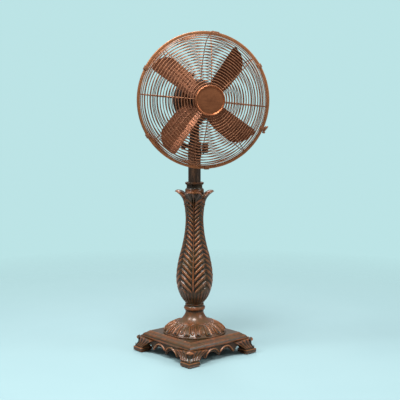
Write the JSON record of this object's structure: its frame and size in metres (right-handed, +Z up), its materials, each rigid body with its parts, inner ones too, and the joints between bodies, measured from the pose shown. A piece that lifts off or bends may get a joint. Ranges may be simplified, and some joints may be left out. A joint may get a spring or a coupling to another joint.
{
  "type": "pedestal fan",
  "caption": "Free-standing fan on a carved footed base and leaf-carved column, with a telescopic pole and a tilting, oscillating head of sheet-metal blades in a round wire guard.",
  "frame": {"origin": "on the floor on the pole axis, at the bottom centre of the object's box", "axes": "+Z up along the pole; the head blows towards -Y; the stand's front corner is turned 19.5 degrees from -Y towards -X, because the head is stored part-way through its sweep"},
  "size_m": [0.444, 0.4044, 1.0905],
  "materials": {
    "carved_resin": "antique bronze paint over carved resin, rubbed copper on the high places",
    "copper_wire": "antique copper plating on steel wire and strip",
    "copper_sheet": "antique copper finish on pressed aluminium sheet",
    "dark_bronze": "dark oil-rubbed bronze paint on steel",
    "cast_bronze": "dark bronze paint on die-cast housings",
    "bare_steel": "turned and zinc-plated steel",
    "ballast_iron": "rough black casting",
    "dark_plastic": "moulded dark brown plastic",
    "black_rubber": "moulded rubber"
  },
  "bodies": {
    "stand": {"base_plate": "carved_resin", "foot_front": "carved_resin", "foot_right": "carved_resin", "foot_back": "carved_resin", "foot_left": "carved_resin", "glide_front": "black_rubber", "glide_right": "black_rubber", "glide_back": "black_rubber", "glide_left": "black_rubber", "apron_front_right": "carved_resin", "apron_back_right": "carved_resin", "apron_back_left": "carved_resin", "apron_front_left": "carved_resin", "ballast_disc": "ballast_iron", "base_washer": "bare_steel", "base_nut": "bare_steel", "tie_rod": "bare_steel", "base_dome": "carved_resin", "cord_grommet": "black_rubber", "column_ring": "carved_resin", "column": "carved_resin", "guide_tube": "bare_steel", "tube_plug": "bare_steel"},
    "collar": {"lock_collar": "cast_bronze"},
    "mast": {"pole": "dark_bronze", "tilt_bracket": "cast_bronze", "tilt_bolt": "bare_steel", "control_box": "cast_bronze", "control_cover": "cast_bronze", "speed_switch": "dark_plastic"},
    "tilt_lock": {"tilt_knob": "dark_plastic"},
    "speed_dial": {"speed_knob": "dark_plastic"},
    "neck": {"neck": "cast_bronze"},
    "head": {"rear_guard": "copper_wire", "front_guard": "copper_wire", "rim_ring": "copper_wire", "badge": "copper_sheet", "guard_nut": "dark_plastic", "rim_clip_1": "copper_wire", "rim_clip_2": "copper_wire", "rim_clip_3": "copper_wire", "rim_clip_4": "copper_wire", "rim_clip_5": "copper_wire", "rim_clip_6": "copper_wire", "motor_front_cover": "cast_bronze", "motor_rear_cover": "cast_bronze", "motor_saddle": "cast_bronze", "stator": "bare_steel", "front_bearing": "bare_steel", "rear_bearing": "bare_steel"},
    "rotor": {"shaft": "bare_steel", "rotor_core": "bare_steel", "blade_hub": "copper_sheet", "blade_nut": "dark_plastic", "blade_1": "copper_sheet", "blade_2": "copper_sheet", "blade_3": "copper_sheet", "blade_4": "copper_sheet"},
    "oscillation_pin": {"oscillation_knob": "dark_plastic"},
    "latch": {"latch_lever": "copper_wire"}
  },
  "joints": [
    {"name": "collar_turn", "type": "hinge", "parent": "stand", "child": "collar", "pos_m": [0, 0, 0.58], "axis": [0, 0, 1], "range_deg": [0, 90]},
    {"name": "height_slide", "type": "slide", "parent": "stand", "child": "mast", "axis": [0, 0, 1], "range_m": [-0.07, 0.2]},
    {"name": "tilt", "type": "hinge", "parent": "mast", "child": "neck", "pos_m": [0, 0, 0.713], "axis": [0.9426, -0.3338, 0], "range_deg": [-20, 15]},
    {"name": "tilt_lock_turn", "type": "hinge", "parent": "mast", "child": "tilt_lock", "pos_m": [0, 0, 0.713], "axis": [-0.9426, 0.3338, 0], "range_deg": [0, 270]},
    {"name": "speed_turn", "type": "hinge", "parent": "mast", "child": "speed_dial", "pos_m": [0.01068, 0.03017, 0.704], "axis": [0.9426, -0.3338, 0], "range_deg": [0, 135]},
    {"name": "oscillation", "type": "hinge", "parent": "neck", "child": "head", "pos_m": [0, 0, 0.785], "axis": [0, 0, 1], "range_deg": [-64.5, 25.5]},
    {"name": "blade_spin", "type": "hinge", "parent": "head", "child": "rotor", "pos_m": [0, 0, 0.867], "axis": [0, -1, 0], "continuous": true},
    {"name": "oscillation_pull", "type": "slide", "parent": "head", "child": "oscillation_pin", "axis": [0, 0, 1], "range_m": [0, 0.008]},
    {"name": "latch_open", "type": "hinge", "parent": "head", "child": "latch", "pos_m": [0.20392, -0.125, 0.76198], "axis": [0, 1, 0], "range_deg": [0, 80]}
  ]
}
